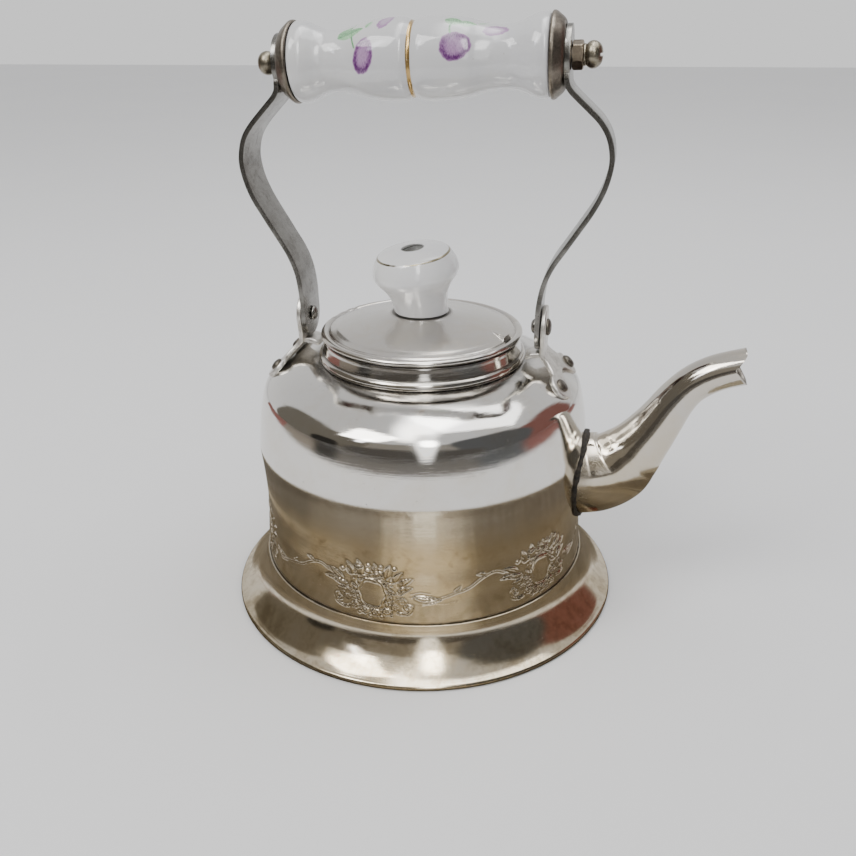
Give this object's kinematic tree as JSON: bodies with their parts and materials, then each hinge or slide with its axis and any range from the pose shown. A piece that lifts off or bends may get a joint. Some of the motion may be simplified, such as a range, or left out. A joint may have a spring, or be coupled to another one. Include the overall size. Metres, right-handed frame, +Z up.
{
  "type": "teapot",
  "caption": "Squat round silver teapot with a chased floral band, a curved spout, a lift-off lid and a swinging bail handle with a porcelain grip.",
  "frame": {"origin": "centre of the foot ring, on the surface that the pot stands on", "axes": "+Z up through the neck and knob; +X towards the spout; the bail handle stands upright in the XZ plane and swings about an axis along X"},
  "size_m": [0.1777, 0.14, 0.1961],
  "materials": {
    "silver": "polished silver plate with fine scratches and warm brown tarnish towards the foot",
    "strap_steel": "worn plated strap, satin with fine lengthwise scratches",
    "tarnished_nickel": "dark tarnished nickel brass, dull with bright worn edges",
    "porcelain": "glossy white glaze with thin gilt lines and small painted sprigs on the grip",
    "dark_metal": "dark oxidised steel",
    "solder": "dull dark solder",
    "washer": "thin dark packing washer"
  },
  "bodies": {
    "pot": {"pot_body": "silver", "neck_collar": "silver", "pot_base": "silver", "foot_skirt": "silver", "spout": "silver", "spout_solder": "solder", "bracket_spout_side": "strap_steel", "bracket_back": "strap_steel", "bracket_rivets_spout_side": "tarnished_nickel", "bracket_rivets_back": "tarnished_nickel", "pivot_rivet_spout_side": "tarnished_nickel", "pivot_rivet_back": "tarnished_nickel"},
    "handle": {"strap_spout_side": "strap_steel", "strap_back": "strap_steel", "grip": "porcelain", "grip_rod": "strap_steel", "grip_cap_spout_side": "tarnished_nickel", "grip_cap_back": "tarnished_nickel", "rod_nut": "tarnished_nickel", "ball_nut_spout_side": "tarnished_nickel", "ball_nut_back": "tarnished_nickel"},
    "lid": {"lid_cover": "silver", "lid_flange": "silver", "lid_knob": "porcelain", "knob_washer": "washer", "knob_screw": "dark_metal", "knob_nut": "tarnished_nickel"}
  },
  "joints": [
    {"name": "handle_swing", "type": "hinge", "parent": "pot", "child": "handle", "pos_m": [0, 0, 0.1008], "axis": [1, 0, 0], "range_deg": [-95, 95]},
    {"name": "lid_lift", "type": "slide", "parent": "pot", "child": "lid", "axis": [0, 0, 1], "range_m": [0, 0.03]}
  ]
}
